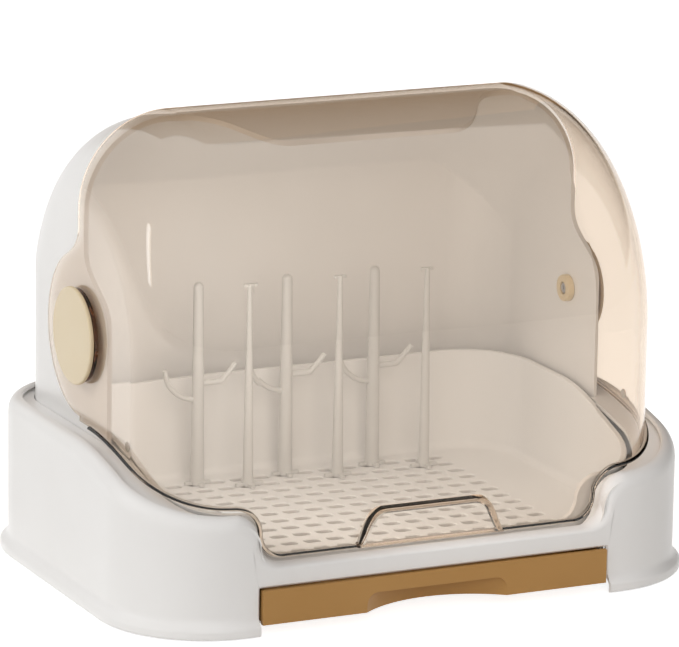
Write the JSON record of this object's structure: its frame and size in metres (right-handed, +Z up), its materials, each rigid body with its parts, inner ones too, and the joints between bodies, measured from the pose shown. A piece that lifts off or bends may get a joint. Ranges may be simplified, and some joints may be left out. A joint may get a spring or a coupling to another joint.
{
  "type": "baby bottle drying rack",
  "caption": "Countertop bottle drying box: white base with drip drawer, perforated lift-out basin, rear cover, swing-up clear amber half-dome lid and plug-in drying pegs.",
  "frame": {"origin": "on the surface that the pads stand on, under the middle of the object", "axes": "+X along the width and the hinge axis, +Y to the back, +Z up; the drawer opens towards -Y"},
  "size_m": [0.38, 0.277, 0.2855],
  "materials": {
    "white_shell": "moulded white plastic, satin gloss",
    "white_basin": "moulded white plastic, satin gloss",
    "brown_drawer": "moulded caramel brown plastic, satin",
    "clear_amber": "clear amber moulded plastic, polished",
    "tan_trim": "moulded cream tan plastic, satin",
    "milky_silicone": "milky silicone, matt",
    "grey_rubber": "grey rubber, matt",
    "peg_plastic": "pale grey white moulded plastic, satin",
    "screw_steel": "plated steel"
  },
  "bodies": {
    "housing": {"base_housing": "white_shell", "drawer_runner_left": "white_shell", "drawer_runner_right": "white_shell", "rear_cover": "white_shell", "hinge_cap_left": "tan_trim", "hinge_cap_right": "tan_trim", "hinge_bush_left": "tan_trim", "hinge_bush_right": "tan_trim", "hinge_washer_left": "milky_silicone", "hinge_washer_right": "milky_silicone", "hinge_screw_left": "screw_steel", "hinge_screw_right": "screw_steel", "runner_screw_1": "screw_steel", "rear_cover_screw_1": "screw_steel", "runner_screw_2": "screw_steel", "rear_cover_screw_2": "screw_steel", "runner_screw_3": "screw_steel", "rear_cover_screw_3": "screw_steel", "runner_screw_4": "screw_steel", "rear_cover_screw_4": "screw_steel", "foot_pad_front_left": "grey_rubber", "foot_pad_front_right": "grey_rubber", "foot_pad_back_left": "grey_rubber", "foot_pad_back_right": "grey_rubber"},
    "lid": {"lid": "clear_amber", "lid_bumper_left": "milky_silicone", "lid_bumper_right": "milky_silicone"},
    "drip_drawer": {"drip_drawer": "brown_drawer"},
    "drain_basin": {"drain_basin": "white_basin"},
    "branch_peg_1": {"branch_peg_1": "peg_plastic"},
    "branch_peg_2": {"branch_peg_2": "peg_plastic"},
    "branch_peg_3": {"branch_peg_3": "peg_plastic"},
    "straight_peg_1": {"straight_peg_1": "peg_plastic"},
    "straight_peg_2": {"straight_peg_2": "peg_plastic"},
    "straight_peg_3": {"straight_peg_3": "peg_plastic"}
  },
  "joints": [
    {"name": "lid_swing", "type": "hinge", "parent": "housing", "child": "lid", "pos_m": [0, 0.011, 0.1525], "axis": [-1, 0, 0], "range_deg": [0, 100]},
    {"name": "drawer_slide", "type": "slide", "parent": "housing", "child": "drip_drawer", "axis": [0, -1, 0], "range_m": [0, 0.17]},
    {"name": "basin_lift", "type": "slide", "parent": "housing", "child": "drain_basin", "axis": [0, 0, 1], "range_m": [0, 0.03]},
    {"name": "branch_peg_1_lift", "type": "slide", "parent": "drain_basin", "child": "branch_peg_1", "axis": [0, 0, 1], "range_m": [0, 0.03]},
    {"name": "branch_peg_2_lift", "type": "slide", "parent": "drain_basin", "child": "branch_peg_2", "axis": [0, 0, 1], "range_m": [0, 0.03]},
    {"name": "branch_peg_3_lift", "type": "slide", "parent": "drain_basin", "child": "branch_peg_3", "axis": [0, 0, 1], "range_m": [0, 0.03]},
    {"name": "straight_peg_1_lift", "type": "slide", "parent": "drain_basin", "child": "straight_peg_1", "axis": [0, 0, 1], "range_m": [0, 0.03]},
    {"name": "straight_peg_2_lift", "type": "slide", "parent": "drain_basin", "child": "straight_peg_2", "axis": [0, 0, 1], "range_m": [0, 0.03]},
    {"name": "straight_peg_3_lift", "type": "slide", "parent": "drain_basin", "child": "straight_peg_3", "axis": [0, 0, 1], "range_m": [0, 0.03]}
  ]
}
